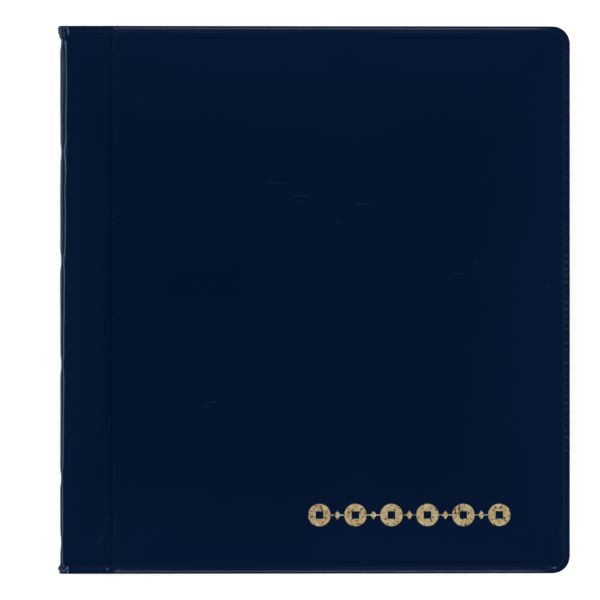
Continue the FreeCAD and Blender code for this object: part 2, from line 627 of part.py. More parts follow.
def pocketSheet(label, columns, rows):
    """Two clear films welded in a grid, each pocket open through a slit in its front film."""
    body = newBody(label)
    outline = rectangle(body, "Outline", "XY_Plane", "-HoleEdge", "LeafWidth - HoleEdge",
                        "-LeafHeight / 2", "LeafHeight / 2")
    pad(body, outline, "Films", "SheetThickness", middle=True)
    punch(body, "SheetThickness")
    pitchX = "((LeafWidth - BindingStrip - PocketWeld) / %d)" % columns
    pitchY = "((LeafHeight - PocketWeld) / %d)" % rows
    startX = "BindingStrip - HoleEdge"
    startY = "-LeafHeight / 2"
    doc.recompute()
    air = body.newObject("PartDesign::SubtractiveBox", "Air")
    bind(air, "Length", pitchX + " - PocketWeld")
    bind(air, "Width", pitchY + " - PocketWeld")
    bind(air, "Height", "PocketDepth")
    bind(air, "Placement.Base.x", startX + " + PocketWeld")
    bind(air, "Placement.Base.y", startY + " + PocketWeld")
    bind(air, "Placement.Base.z", "-PocketDepth / 2")
    slit = body.newObject("PartDesign::SubtractiveBox", "Slit")
    bind(slit, "Length", pitchX + " - PocketWeld - 2 * SlitInset")
    bind(slit, "Width", "SlitHeight")
    bind(slit, "Height", "SheetThickness")
    bind(slit, "Placement.Base.x", startX + " + PocketWeld + SlitInset")
    bind(slit, "Placement.Base.y", startY + " + " + pitchY + " - SlitHeight - SlitDrop")
    bind(slit, "Placement.Base.z", "0")
    grid = body.newObject("PartDesign::MultiTransform", "Pockets")
    grid.Originals = [air, slit]
    across = doc.addObject("PartDesign::LinearPattern", "Columns")
    across.Direction = (outline, ["H_Axis"])
    across.Occurrences = columns
    bind(across, "Length", "%s * %d" % (pitchX, columns - 1))
    along = doc.addObject("PartDesign::LinearPattern", "Rows")
    along.Direction = (outline, ["V_Axis"])
    along.Occurrences = rows
    bind(along, "Length", "%s * %d" % (pitchY, rows - 1))
    grid.Transformations = [across, along]
    body.Tip = grid
    return body


def card(label):
    body = newBody(label)
    outline = rectangle(body, "Outline", "XY_Plane", "-HoleEdge", "LeafWidth - HoleEdge - CardInset",
                        "-LeafHeight / 2 + CardInset", "LeafHeight / 2 - CardInset")
    pad(body, outline, "Card", "CardThickness", middle=True)
    punch(body, "CardThickness")
    return body


grids = ((3, 4), (4, 5), (4, 5), (5, 6), (5, 6), (4, 5), (4, 5), (5, 6), (3, 4), (4, 5))
for number, (columns, rows) in enumerate(grids, 1):
    hang(pocketSheet("pocket_sheet_%02d" % number, columns, rows), 2 * number - 2)
    hang(card("card_%02d" % number), 2 * number - 1)

doc.recompute()

failed = [o.Name for o in doc.Objects if "Invalid" in o.State or "Error" in o.State]
if failed:
    raise RuntimeError("not built: " + ", ".join(failed))
for part in subParts:
    if part.Shape.isNull() or not part.Shape.isValid():
        raise RuntimeError("bad shape: " + part.Label)

os.makedirs("parts", exist_ok=True)
for part in subParts:
    part.Shape.exportStep(os.path.join("parts", part.Label + ".step"))
print("%d sub-parts written" % len(subParts))
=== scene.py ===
import json
import math

import bmesh
import bpy
import numpy as np
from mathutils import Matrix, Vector


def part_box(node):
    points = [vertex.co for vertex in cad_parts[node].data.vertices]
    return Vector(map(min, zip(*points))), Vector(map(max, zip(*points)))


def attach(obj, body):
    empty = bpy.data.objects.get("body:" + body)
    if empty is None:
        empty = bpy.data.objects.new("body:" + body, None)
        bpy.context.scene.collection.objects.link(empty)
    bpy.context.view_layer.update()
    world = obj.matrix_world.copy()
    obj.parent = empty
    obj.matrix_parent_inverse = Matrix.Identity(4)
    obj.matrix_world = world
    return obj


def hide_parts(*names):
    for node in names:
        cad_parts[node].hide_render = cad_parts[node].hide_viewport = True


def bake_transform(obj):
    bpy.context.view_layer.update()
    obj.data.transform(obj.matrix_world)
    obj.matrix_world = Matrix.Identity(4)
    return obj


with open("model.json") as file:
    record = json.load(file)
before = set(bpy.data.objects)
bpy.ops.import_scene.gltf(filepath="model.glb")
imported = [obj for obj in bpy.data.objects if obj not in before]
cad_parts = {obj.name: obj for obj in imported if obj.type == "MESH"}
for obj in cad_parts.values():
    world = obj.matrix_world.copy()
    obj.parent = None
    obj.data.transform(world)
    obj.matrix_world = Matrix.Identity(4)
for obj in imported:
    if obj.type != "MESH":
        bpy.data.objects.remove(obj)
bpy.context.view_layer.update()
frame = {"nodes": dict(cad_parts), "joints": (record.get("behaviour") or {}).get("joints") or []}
scene = bpy.context.scene
joints = {joint["name"]: joint for joint in frame["joints"]}
mm = 0.001
print("frame loaded:", len(frame["nodes"]), "nodes")

# where the case folds, read from the frame
backFold = Vector(joints["spine_fold"]["pos_m"])
frontFold = Vector(joints["front_strip_fold"]["pos_m"])
seamLine = Vector(joints["front_seam"]["pos_m"])
tilt = math.radians(joints["front_seam"]["range_deg"][1])
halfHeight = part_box("back_outer_film")[1].y
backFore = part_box("back_outer_film")[1].x
coverLength = (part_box("front_lining")[1].x - seamLine.x) / math.cos(tilt)
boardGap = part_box("front_strip_board")[0].x - frontFold.x
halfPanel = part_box("back_lining")[1].z / 2

case = {
    "rimHeight": (0.60 * mm, 0.70 * mm),  # film above the panel's middle at the cover's rim and the strip's
    "liningRim": 0.35 * mm,
    "rimEnd": (2.4 * mm, 4.4 * mm),  # where the film reaches the board's top
    "rimStart": 0.4 * mm,
    "rimRound": (-0.05 * mm, 0.12 * mm),
    "weldDip": 0.06 * mm,  # pressed line inside the rim
    "weldLine": (0.85 * mm, 0.16 * mm),  # its place and width
    "ridge": 0.05 * mm,  # film pulled up over the board's edge
    "ridgePlace": (2.4 * mm, 3.2 * mm),
    "ridgeWidth": 0.7 * mm,
    "rubbedAndHighlight": (2.9 * mm, 0.6 * mm),  # place and width of the lighter line on the ridge: rubbed wear and painted highlight
    "polishAndSheen": (2 * mm, 75 * mm),  # how far in from the edge the handling polish and the painted sheen show
    "pressed": (1.0 * mm, 2.2 * mm),
    "pillow": 0.50 * mm,  # swell of the front cover towards its middle
    "cornerRadius": 8.5 * mm,
    "seamDepth": 0.27 * mm,
    "seamFloor": 0.7 * mm,  # half width of the groove's floor
    "seamShoulder": 2.6 * mm,  # where the groove's side meets the board
    "seamWeld": (0.95 * mm, 0.22 * mm, 0.045 * mm),  # place, width and depth of a weld line in it
    "puckers": ((-1.5 * mm, 0.44 * mm), (4.0 * mm, 0.46 * mm), (6.6 * mm, 0.22 * mm)),
    "puckerPlace": 3.0 * mm,  # from the foot
    "puckerWidth": (0.8 * mm, 0.75 * mm),
    "cornerPucker": 0.52 * mm,
    "cornerPlace": (8.2 * mm, 3.4 * mm),  # from the fore-edge and from the foot
    "cornerWidth": (2.0 * mm, 0.7 * mm),
    "foreSoft": 1.5,  # softness of the fore-edge's rim, where the strip's is 1
    "foreReach": (12 * mm, 6 * mm),
    "foreFade": (45 * mm, 12 * mm),  # how far from the head and foot it fades
}


def smoothStep(low, high, value):
    t = np.clip((value - low) / (high - low), 0.0, 1.0)
    return t * t * (3 - 2 * t)


def bump(value, centre, width):
    return np.exp(-((value - centre) / width) ** 2)


def wobble(value, seed, pitch):
    # a smooth wandering line made of a few fixed waves
    return (np.sin(value / pitch + seed) + 0.6 * np.sin(2.3 * value / pitch + 2.1 * seed)
            + 0.4 * np.sin(4.7 * value / pitch + 0.7 * seed)) / 2.0


def edgeSteps():
    # distances from a welded edge, close together over the rim and the ridge
    near = [0, 0.06, 0.18, 0.4, 0.7, 0.9, 1.02, 1.14, 1.26, 1.4, 1.6, 1.8, 2.0, 2.2, 2.4, 2.6, 2.85, 3.1,
            3.5, 4.0, 4.8, 5.8, 7.0, 8.5]
    return np.array(near) * mm


def spread(low, high, step, fineLow=True, fineHigh=True):
    steps = edgeSteps()
    parts = [low + steps if fineLow else np.array([low])]
    start = parts[0][-1]
    stop = high - steps[-1] if fineHigh else high
    count = max(2, int(round((stop - start) / step)))
    parts.append(np.linspace(start, stop, count + 1)[1:-1])
    parts.append(high - steps[::-1] if fineHigh else np.array([high]))
    return np.concatenate(parts)


def rimHeight(inset, soft, side):
    # height of the film over the panel's middle, by distance in from the welded edge
    # soft is 0 at the cover's head and foot, 1 on the strips and foreSoft at the fore-edge
    rim, end, ridgeAt = (low + (high - low) * soft for low, high in (case["rimHeight"], case["rimEnd"],
                                                                     case["ridgePlace"]))
    if side < 0:
        rim, end, ridgeAt = case["liningRim"], case["rimEnd"][0], case["ridgePlace"][0]
    height = rim * smoothStep(*case["rimRound"], inset)
    height = height - case["weldDip"] * bump(inset, *case["weldLine"])
    height = height + (halfPanel - rim) * smoothStep(case["rimStart"], end, inset)
    return height + case["ridge"] * (1 - 0.6 * soft) * bump(inset, ridgeAt, case["ridgeWidth"])


def roundCorners(along, across, far, radius):
    # carry the grid's lines round the two far corners at an even distance from the edge
    u = along - (far - radius)
    v = np.abs(across) - (halfHeight - radius)
    inside = (u > 0) & (v > 0)
    reach = np.maximum(u, v)
    share = np.where(inside, np.minimum(u, v) / np.maximum(reach, 1e-9), 0.0)
    angle = share * math.pi / 4
    u2 = np.where(u >= v, np.cos(angle), np.sin(angle)) * reach
    v2 = np.where(u >= v, np.sin(angle), np.cos(angle)) * reach
    along = np.where(inside, far - radius + u2, along)
    across = np.where(inside, np.sign(across) * (halfHeight - radius + v2), across)
    return along, across


def addObject(name, data):
    made = bpy.data.objects.new(name, data)
    scene.collection.objects.link(made)
    return made


def meshPiece(name, points, faces, sharpAngle):
    mesh = bpy.data.meshes.new(name)
    mesh.from_pydata(points, [], faces)
    shape = bmesh.new()
    shape.from_mesh(mesh)
    bmesh.ops.recalc_face_normals(shape, faces=shape.faces)
    for face in shape.faces:
        face.smooth = True
    shape.to_mesh(mesh)
    shape.free()
    mesh.set_sharp_from_angle(angle=math.radians(sharpAngle))
    return addObject(name, mesh)


def closedShell(name, top, bottom):
    # a closed piece from two grids of points with the same rows and columns
    rows, columns = top.shape[:2]
    count = rows * columns
    points = np.concatenate([top.reshape(-1, 3), bottom.reshape(-1, 3)])
    faces = []
    for i in range(rows - 1):
        for j in range(columns - 1):
            a, b = i * columns + j, (i + 1) * columns + j
            faces.append((a, b, b + 1, a + 1))
            faces.append((count + a + 1, count + b + 1, count + b, count + a))
    border = [(i, 0) for i in range(rows)]
    border += [(rows - 1, j) for j in range(1, columns)]
    border += [(i, columns - 1) for i in range(rows - 2, -1, -1)]
    border += [(0, j) for j in range(columns - 2, 0, -1)]
    ring = [i * columns + j for i, j in border]
    for k in range(len(ring)):
        a, b = ring[k], ring[(k + 1) % len(ring)]
        faces.append((b, a, count + a, count + b))
    return meshPiece(name, points.tolist(), faces, 48)


def addMask(piece, name, values):
    attribute = piece.data.attributes.new(name, "FLOAT", "POINT")
    attribute.data.foreach_set("value", values.astype(np.float32))


def filmMasks(piece, seamSide, across, inset, handledAndSheen=0.0):
    # rubbed wear and painted highlight on the ridge along the welds, handling polish and painted sheen in
    # from the edges, film pressed flat in the hinge groove and darkened there as painted shade
    masks = {"rubAndHighlight": bump(inset, *case["rubbedAndHighlight"]),
             "handledAndSheen": np.maximum(1 - smoothStep(*case["polishAndSheen"], inset), handledAndSheen),
             "pressed": 1 - smoothStep(*case["pressed"], np.abs(seamSide))}
    for name, values in masks.items():
        values = np.broadcast_to(values, across.shape).reshape(-1)
        addMask(piece, name, np.concatenate([values, values * 0]))


# paths of the panel's middle: each takes distances and gives points and outward directions in X and Z

def coverPath(distance):
    # out from the hinge seam, down the slope of the closed front cover; the strip's end lies level
    level = distance < 0
    c = np.where(level, 1.0, math.cos(tilt))
    s = np.where(level, 0.0, math.sin(tilt))
    x = seamLine.x + distance * c
    z = seamLine.z - distance * s
    blendIn = smoothStep(-2 * mm, 2 * mm, distance)
    return x, z, np.sin(blendIn * tilt), np.cos(blendIn * tilt)


def rollPath(distance, level, straight, down):
    # along a strip towards the spine, round the roll and along the spine
    centreX = frontFold.x + boardGap
    radius = boardGap
    arc = radius * math.pi / 2
    angle = np.clip((distance - straight) / radius, 0, math.pi / 2)
    beyond = np.clip(distance - straight - arc, 0, None)
    before = np.clip(straight - distance, 0, None)
    x = centreX + before - radius * np.sin(angle)
    z = level - radius * (1 - np.cos(angle)) * down - beyond * down
    return x, z, -np.sin(angle), np.cos(angle) * down


roll = {
    "start": (-0.5 * mm, 1.2 * mm),  # where its detail sets in, about the turn's start
    "end": (-0.3 * mm, 2.5 * mm),  # and where it runs out, about the turn's end
    "pinches": (0.973, 0.769, 0.572, 0.382, 0.175, 0.058),  # shares of the height, from the foot
    "pinchDepth": 0.36 * mm,
    "pinchWidth": 0.011,
    "swell": 0.40 * mm,
    "power": (4.6, 1.35),  # squareness of its section at the foot and at the head
    "powerFall": 1.9,
    "powerSpan": (1.15, 8),
    "waves": {"swell": 17 * mm, "power": 13 * mm, "fold": 11 * mm, "crease": 23 * mm},
    "fold": (0.16 * mm, 0.8 * mm),  # height and width of the slack film beside it near the head
    "crease": (0.10 * mm, 0.55 * mm),  # depth and width of the line beside that
    "lipHead": (1.75 * mm, 6.6 * mm, 5.6 * mm),  # height of the welded end and where it rises
    "lipFoot": (1.2 * mm, 4.5 * mm, 3.2 * mm),
    "lipTop": (5 * mm, 0.5 * mm),
    "pleat": (0.12, 0.33 * mm),  # share of the lip's height and spacing of its pleats
    "polishAndSheenBeside": (16 * mm, 0.45),  # reach and least share of the handling polish and painted sheen beside it
}


def rollDetail(distance, across, straight, seed):
    # how far the film stands off its plain path: swells between pinches, welded lips at the ends
    arc = boardGap * math.pi / 2
    onRoll = smoothStep(*(straight + at for at in roll["start"]), distance)
    onRoll = onRoll * (1 - smoothStep(*(straight + arc + at for at in roll["end"]), distance))
    share = (across + halfHeight) / (2 * halfHeight)
    pinch = np.zeros_like(across)
    for spot in roll["pinches"]:
        pinch = np.maximum(pinch, bump(share, spot, roll["pinchWidth"]))
    waves = roll["waves"]
    swell = roll["swell"] * (0.75 + 0.25 * wobble(across, seed, waves["swell"]))
    off = onRoll * (swell * (1 - pinch) - roll["pinchDepth"] * pinch)
    # the roll is drawn tight over its corner at the foot and cuts it at the head
    foot, head = roll["power"]
    power = head + (foot - head) * (1 - share) ** roll["powerFall"]
    power = power * (1 + 0.14 * wobble(across, seed + 2, waves["power"])) * (1 + 0.75 * pinch)
    power = np.clip(power, *roll["powerSpan"])
    angle = np.clip((distance - straight) / boardGap, 1e-4, math.pi / 2 - 1e-4)
    reach = (np.cos(angle) ** power + np.sin(angle) ** power) ** (-1 / power)
    off = off + (boardGap + halfPanel) * (reach - 1)
    height, width = roll["fold"]
    fold = straight + 0.2 * mm + 0.5 * mm * wobble(across, seed + 4, waves["fold"])
    off = off + height * smoothStep(0.3, 0.9, share) * (1 - pinch) * bump(distance, fold, width)
    depth, width = roll["crease"]
    crease = straight - 0.9 * mm + 0.5 * mm * wobble(across, seed + 1, waves["crease"])
    off = off - bump(distance, crease, width) * depth * (0.4 + 0.6 * pinch)
    off = off * smoothStep(0, 2.2 * mm, halfHeight - np.abs(across))
    height, low, high = roll["lipHead"]
    lip = height * smoothStep(halfHeight - low, halfHeight - high, across)
    lip = lip * (0.5 + 0.5 * smoothStep(*(halfHeight - at for at in roll["lipTop"]), across))
    height, low, high = roll["lipFoot"]
    lip = lip + height * smoothStep(halfHeight - low, halfHeight - high, -across)
    share, pitch = roll["pleat"]
    lip = lip * (1 + share * np.sin(across / pitch))
    return off + onRoll * lip


def seamHeight(distance, height):
    # the pressed groove over the hinge: a flat floor, two weld lines and soft sides
    side = np.abs(distance)
    drop = 1 - smoothStep(case["seamFloor"], case["seamShoulder"], side)
    place, width, depth = case["seamWeld"]
    lines = bump(side, place, width) * depth
    return height - np.minimum(case["seamDepth"] * drop + lines, height * 0.6)


# grid lines over the groove, either side of the hinge
seamRows = np.array([-3.6, -3.2, -2.8, -2.5, -2.2, -1.9, -1.6, -1.3, -1.1, -0.95, -0.8, -0.5, 0,
                     0.5, 0.8, 0.95, 1.1, 1.3, 1.6, 1.9, 2.2, 2.5, 2.8, 3.2, 3.8]) * mm


def outerCover():
    rowsAt = np.concatenate([seamRows, np.array([4.6, 6.0, 8.0]) * mm,
                             spread(11 * mm, coverLength, 4.5 * mm, fineLow=False)])
    acrossAt = spread(-halfHeight, halfHeight, 3.2 * mm)
    along, across = np.meshgrid(rowsAt, acrossAt, indexing="ij")
    along, across = roundCorners(along, across, coverLength, case["cornerRadius"])
    return along, across


def edgeInset(along, across, far=None):
    # distance in from the nearest welded edge, following the round corners
    inset = halfHeight - np.abs(across)
    if far is None:
        return inset
    radius = case["cornerRadius"]
    inset = np.minimum(inset, far - along)
    u, v = along - (far - radius), np.abs(across) - (halfHeight - radius)
    return np.where((u > 0) & (v > 0), radius - np.hypot(u, v), inset)


def lay(path, along, across, height):
    x, z, nx, nz = path(along)
    return np.stack([x + nx * height, across, z + nz * height], axis=-1)


def coverHeight(along, across, side):
    inset = edgeInset(along, across, coverLength)
    soft = 1 - smoothStep(-2 * mm, 2 * mm, along)
    fore = smoothStep(*(coverLength - reach for reach in case["foreReach"]), along)
    fore = fore * (1 - 0.5 * smoothStep(*(halfHeight - reach for reach in case["foreFade"]), np.abs(across)))
    soft = np.maximum(soft, case["foreSoft"] * fore)
    height = rimHeight(inset, soft, side)
    seam = seamHeight(along, height)
    u = np.clip(along / coverLength, 0, 1)
    v = across / halfHeight
    swell = case["pillow"] * np.clip(1 - (2 * u - 1) ** 2, 0, 1) * np.clip(1 - v ** 2, 0, 1)
    if side < 0:
        swell = swell * -0.1
    foot = halfHeight + across
    wide, high = case["puckerWidth"]
    for spot, size in case["puckers"]:
        seam = seam + (side > 0) * size * bump(along, spot, wide) * bump(foot, case["puckerPlace"], high)
    wide, high = case["cornerWidth"]
    fromFore, fromFoot = case["cornerPlace"]
    corner = bump(along, coverLength - fromFore, wide) * bump(foot, fromFoot, high)
    return seam + swell + case["cornerPucker"] * corner * (side > 0), inset


coverAlong, coverAcross = outerCover()
seamSpan = 2.0 * mm
films = {}
for side, name, replaced in ((1, "frontCoverFilm", ["front_outer_film", "front_seam_band"]),
                             (-1, "frontCoverLining", ["front_lining"])):
    height, inset = coverHeight(coverAlong, coverAcross, side)
    top = lay(coverPath, coverAlong, coverAcross, side * height)
    middle = lay(coverPath, coverAlong, coverAcross, 0.0 * height)
    piece = closedShell(name, top, middle)
    filmMasks(piece, coverAlong, coverAcross, inset)
    films[name] = (piece, replaced, ("front_strip", "front_cover"),
                   (seamLine.x - seamSpan, 0, seamLine.z), (seamLine.x + seamSpan, 0, seamLine.z))
print("front cover film laid")

stripStraight = (seamLine.x + seamRows[0]) - (frontFold.x + boardGap)
spineDrop = 26.2 * mm  # spine film belonging to the front fold's piece


def foldPiece(name, level, down, straight, spineLength, side, seed, replaced, bodies, start, end, far=False):
    arc = boardGap * math.pi / 2
    seamAt = straight - (seamLine.x - frontFold.x - boardGap)
    # grid lines on the flat lead, round the turn and along the spine
    lead = np.linspace(0, straight - 3 * mm, 6)
    if far:
        lead = np.concatenate([spread(0, seamAt - 8 * mm, 4.5 * mm, fineHigh=False), seamAt + seamRows,
                               np.linspace(seamAt + 6 * mm, straight - 3 * mm, 4)])
    turn = np.linspace(straight - 2.4 * mm, straight + arc + 2.6 * mm, 34)
    tail = np.linspace(straight + arc + min(4 * mm, spineLength), straight + arc + spineLength, 8)
    if spineLength < 4 * mm:
        turn = np.linspace(straight - 2.4 * mm, straight + arc + spineLength, 30)
        tail = turn[:0]
    rowsAt = np.concatenate([lead, turn, tail])
    acrossAt = spread(-halfHeight, halfHeight, 1.5 * mm)
    along, across = np.meshgrid(rowsAt, acrossAt, indexing="ij")
    inset = edgeInset(along, across)
    if far:
        flipped, across = roundCorners(straight - along, across, straight, case["cornerRadius"])
        along = straight - flipped
        inset = edgeInset(straight - along, across, straight)
    height = rimHeight(inset, smoothStep(-2 * mm, 2 * mm, along - seamAt) if far else 1.0, side)
    if far:
        height = seamHeight(along - seamAt, height)
    detail = rollDetail(along, across, straight, seed)
    if side < 0:
        detail = detail * 0.12

    def path(distance):
        return rollPath(distance, level, straight, down)

    top = lay(path, along, across, side * height + detail)
    middle = lay(path, along, across, detail)
    piece = closedShell(name, top, middle)
    # handling polish and painted sheen strongest beside the roll
    reach, least = roll["polishAndSheenBeside"]
    handledAndSheen = least + (1 - least) * smoothStep(straight - reach, straight, along)
    filmMasks(piece, along - seamAt if far else along + 1.0, across, inset, handledAndSheen)
    films[name] = (piece, replaced, bodies, start, end)


diagonal = boardGap * 0.55
for side, label, replaced in ((1, "Film", ["front_strip_outer_film", "front_fold_roll", "spine_outer_film"]),
                              (-1, "Lining", ["front_strip_lining", "spine_lining"])):
    foldPiece("spineFront" + label, frontFold.z, 1, stripStraight, spineDrop, side, 0.4, replaced,
              ("spine", "front_strip"), (frontFold.x - diagonal * 0.5, 0, frontFold.z - diagonal),
              (frontFold.x + diagonal, 0, frontFold.z + diagonal * 0.5))
backStraight = backFore - (backFold.x + boardGap)
backSpine = (frontFold.z - backFold.z) - 2 * boardGap - spineDrop
for side, label, replaced in ((1, "Film", ["back_outer_film", "back_fold_roll"]),
                              (-1, "Lining", ["back_lining"])):
    foldPiece("spineBack" + label, backFold.z, -1, backStraight, backSpine, side, 2.2, replaced,
              ("spine", "back_cover"), (backFold.x - diagonal * 0.5, 0, backFold.z + diagonal),
              (backFold.x + diagonal, 0, backFold.z - diagonal * 0.5), far=True)
print("spine and back film laid")


# repeated small marks, laid by geometry nodes along a path

def marksTree(name, material):
    # beads of one size along the host's edges, each a little different, ending as plain mesh
    tree = bpy.data.node_groups.new(name, "GeometryNodeTree")
    face = tree.interface
    face.new_socket(name="Geometry", in_out="INPUT", socket_type="NodeSocketGeometry")
    for label, kind in (("Pitch", "NodeSocketFloat"), ("Size", "NodeSocketVector"),
                        ("Variation", "NodeSocketFloat"), ("Seed", "NodeSocketInt")):
        face.new_socket(name=label, in_out="INPUT", socket_type=kind)
    face.new_socket(name="Geometry", in_out="OUTPUT", socket_type="NodeSocketGeometry")
    add, link = tree.nodes.new, tree.links.new
    inlet, outlet = add("NodeGroupInput"), add("NodeGroupOutput")
    path = add("GeometryNodeMeshToCurve")
    link(inlet.outputs["Geometry"], path.inputs[0])
    points = add("GeometryNodeCurveToPoints")
    points.mode = "LENGTH"
    link(path.outputs[0], points.inputs["Curve"])
    link(inlet.outputs["Pitch"], points.inputs["Length"])
    bead = add("GeometryNodeMeshUVSphere")
    bead.inputs["Segments"].default_value = 8
    bead.inputs["Rings"].default_value = 5
    bead.inputs["Radius"].default_value = 0.5
    shape = add("GeometryNodeTransform")
    link(bead.outputs["Mesh"], shape.inputs["Geometry"])
    link(inlet.outputs["Size"], shape.inputs["Scale"])
    vary = add("FunctionNodeRandomValue")
    vary.data_type = "FLOAT"
    smaller = add("ShaderNodeMath")
    smaller.operation = "SUBTRACT"
    smaller.inputs[0].default_value = 1.0
    link(inlet.outputs["Variation"], smaller.inputs[1])
    link(smaller.outputs[0], vary.inputs[2])
    vary.inputs[3].default_value = 1.0
    link(inlet.outputs["Seed"], vary.inputs["Seed"])
    laid = add("GeometryNodeInstanceOnPoints")
    link(points.outputs["Points"], laid.inputs["Points"])
    link(shape.outputs[0], laid.inputs["Instance"])
    link(vary.outputs[1], laid.inputs["Scale"])
    real = add("GeometryNodeRealizeInstances")
    link(laid.outputs[0], real.inputs[0])
    dress = add("GeometryNodeSetMaterial")
    link(real.outputs[0], dress.inputs["Geometry"])
    dress.inputs["Material"].default_value = material
    link(dress.outputs[0], outlet.inputs[0])
    return tree


def marksAlong(name, paths, material, values):
    points, edges = [], []
    for path in paths:
        start = len(points)
        points += [tuple(point) for point in path]
        edges += [(start + i, start + i + 1) for i in range(len(path) - 1)]
    mesh = bpy.data.meshes.new(name + "Path")
    mesh.from_pydata(points, edges, [])
    host = addObject(name + "Path", mesh)
    modifier = host.modifiers.new("marks", "NODES")
    modifier.node_group = marksTree(name + "Marks", material)
    for socket in modifier.node_group.interface.items_tree:
        if socket.item_type == "SOCKET" and socket.in_out == "INPUT" and socket.name in values:
            modifier[socket.identifier] = values[socket.name]
    plain = bpy.data.meshes.new_from_object(host.evaluated_get(bpy.context.evaluated_depsgraph_get()))
    bpy.data.objects.remove(host)
    for polygon in plain.polygons:
        polygon.use_smooth = True
    return addObject(name, plain)


# shader helpers

def newMaterial(name):
    material = bpy.data.materials.new(name)
    material.use_nodes = True
    tree = material.node_tree
    shader = next(node for node in tree.nodes if node.type == "BSDF_PRINCIPLED")
    return material, tree, shader


def addNode(tree, kind, **inputs):
    node = tree.nodes.new(kind)
    for label, value in inputs.items():
        node.inputs[label].default_value = value
    return node


def socketGroup(name, inputs, outputs):
    group = bpy.data.node_groups.new(name, "ShaderNodeTree")
    for label, kind, value in inputs:
        socket = group.interface.new_socket(name=label, in_out="INPUT", socket_type=kind)
        if value is not None:
            socket.default_value = value
    for label in outputs:
        group.interface.new_socket(name=label, in_out="OUTPUT", socket_type="NodeSocketFloat")
    return group, group.nodes.new("NodeGroupInput"), group.nodes.new("NodeGroupOutput")


def feed(tree, socket, value):
    # a socket takes a link or a constant
    if isinstance(value, bpy.types.NodeSocket):
        tree.links.new(value, socket)
    elif value is not None:
        socket.default_value = value


def mathNode(tree, operation, one, other=None, clamp=False):
    node = tree.nodes.new("ShaderNodeMath")
    node.operation = operation
    node.use_clamp = clamp
    feed(tree, node.inputs[0], one)
    feed(tree, node.inputs[1], other)
    return node.outputs[0]


def mixColour(tree, factor, one, other):
    node = tree.nodes.new("ShaderNodeMix")
    node.data_type = "RGBA"
    for index, value in ((0, factor), (6, one), (7, other)):
        feed(tree, node.inputs[index], value)
    return node.outputs[2]


def mapRange(tree, value, low, high, newLow=0.0, newHigh=1.0):
    node = tree.nodes.new("ShaderNodeMapRange")
    tree.links.new(value, node.inputs[0])
    for index, number in enumerate((low, high, newLow, newHigh), 1):
        node.inputs[index].default_value = number
    return node.outputs[0]


def noise(tree, vector, scale, detail=2.0, stretch=None, distortion=0.0):
    if stretch:
        turn = tree.nodes.new("ShaderNodeMapping")
        turn.inputs["Scale"].default_value = stretch
        tree.links.new(vector, turn.inputs["Vector"])
        vector = turn.outputs[0]
    node = addNode(tree, "ShaderNodeTexNoise", Scale=scale, Detail=detail, Distortion=distortion)
    tree.links.new(vector, node.inputs["Vector"])
    return node.outputs[0]


def makeGrain():
    # fine pressed grain with a slow drape under it
    group, inlet, outlet = socketGroup("filmGrain", [
        ("Vector", "NodeSocketVector", None), ("Grain", "NodeSocketFloat", 0.25),
        ("Drape", "NodeSocketFloat", 1.0)], ["Height", "Mottle"])
    where = inlet.outputs["Vector"]
    fine = noise(group, where, 2400.0)
    slow = noise(group, where, 16.0, 3.0)
    height = mathNode(group, "ADD", mathNode(group, "MULTIPLY", fine, inlet.outputs["Grain"]),
                      mathNode(group, "MULTIPLY", slow, inlet.outputs["Drape"]))
    group.links.new(height, outlet.inputs["Height"])
    group.links.new(slow, outlet.inputs["Mottle"])
    return group


def makeScratches():
    # short hairlines in patches, lying across
    group, inlet, outlet = socketGroup("hairScratches", [
        ("Vector", "NodeSocketVector", None), ("Amount", "NodeSocketFloat", 0.5)], ["Mask"])
    where = inlet.outputs["Vector"]
    lines = noise(group, where, 70.0, 1.0, (1.0, 14.0, 1.0), 0.3)
    patch = noise(group, where, 30.0, 2.0)
    mask = mathNode(group, "MULTIPLY", mapRange(group, lines, 0.72, 0.77),
                    mapRange(group, patch, 0.60, 0.72))
    mask = mathNode(group, "MULTIPLY", mask, inlet.outputs["Amount"], clamp=True)
    group.links.new(mask, outlet.inputs["Mask"])
    return group


def makeDust():
    group, inlet, outlet = socketGroup("fineDust", [
        ("Vector", "NodeSocketVector", None), ("Scale", "NodeSocketFloat", 700.0),
        ("Amount", "NodeSocketFloat", 0.3)], ["Mask"])
    where = inlet.outputs["Vector"]
    specks = group.nodes.new("ShaderNodeTexVoronoi")
    group.links.new(where, specks.inputs["Vector"])
    group.links.new(inlet.outputs["Scale"], specks.inputs["Scale"])
    dots = mapRange(group, specks.outputs["Distance"], 0.05, 0.12, 1.0, 0.0)
    patch = mapRange(group, noise(group, where, 14.0, 3.0), 0.52, 0.75)
    mask = mathNode(group, "MULTIPLY", dots, patch)
    mask = mathNode(group, "MULTIPLY", mask, inlet.outputs["Amount"], clamp=True)
    group.links.new(mask, outlet.inputs["Mask"])
    return group


grainGroup = makeGrain()
scratchGroup = makeScratches()
dustGroup = makeDust()


def addShare(tree, value, mask, share, clamp=False):
    return mathNode(tree, "ADD", value, mathNode(tree, "MULTIPLY", mask, share), clamp)


def stain(tree, base, mask, share, colour):
    return mixColour(tree, mathNode(tree, "MULTIPLY", mask, share), base, colour)


def placeGroup(tree, group, vector, **values):
    node = tree.nodes.new("ShaderNodeGroup")
    node.node_tree = group
    tree.links.new(vector, node.inputs["Vector"])
    for label, value in values.items():
        node.inputs[label].default_value = value
    return node


def objectPlace(tree):
    return tree.nodes.new("ShaderNodeTexCoord").outputs["Object"]


def attributeValue(tree, name):
    node = tree.nodes.new("ShaderNodeAttribute")
    node.attribute_name = name
    return node.outputs["Fac"]


def addRelief(tree, shader, height, strength, distance):
    relief = addNode(tree, "ShaderNodeBump", Strength=strength, Distance=distance)
    tree.links.new(height, relief.inputs["Height"])
    tree.links.new(relief.outputs[0], shader.inputs["Normal"])


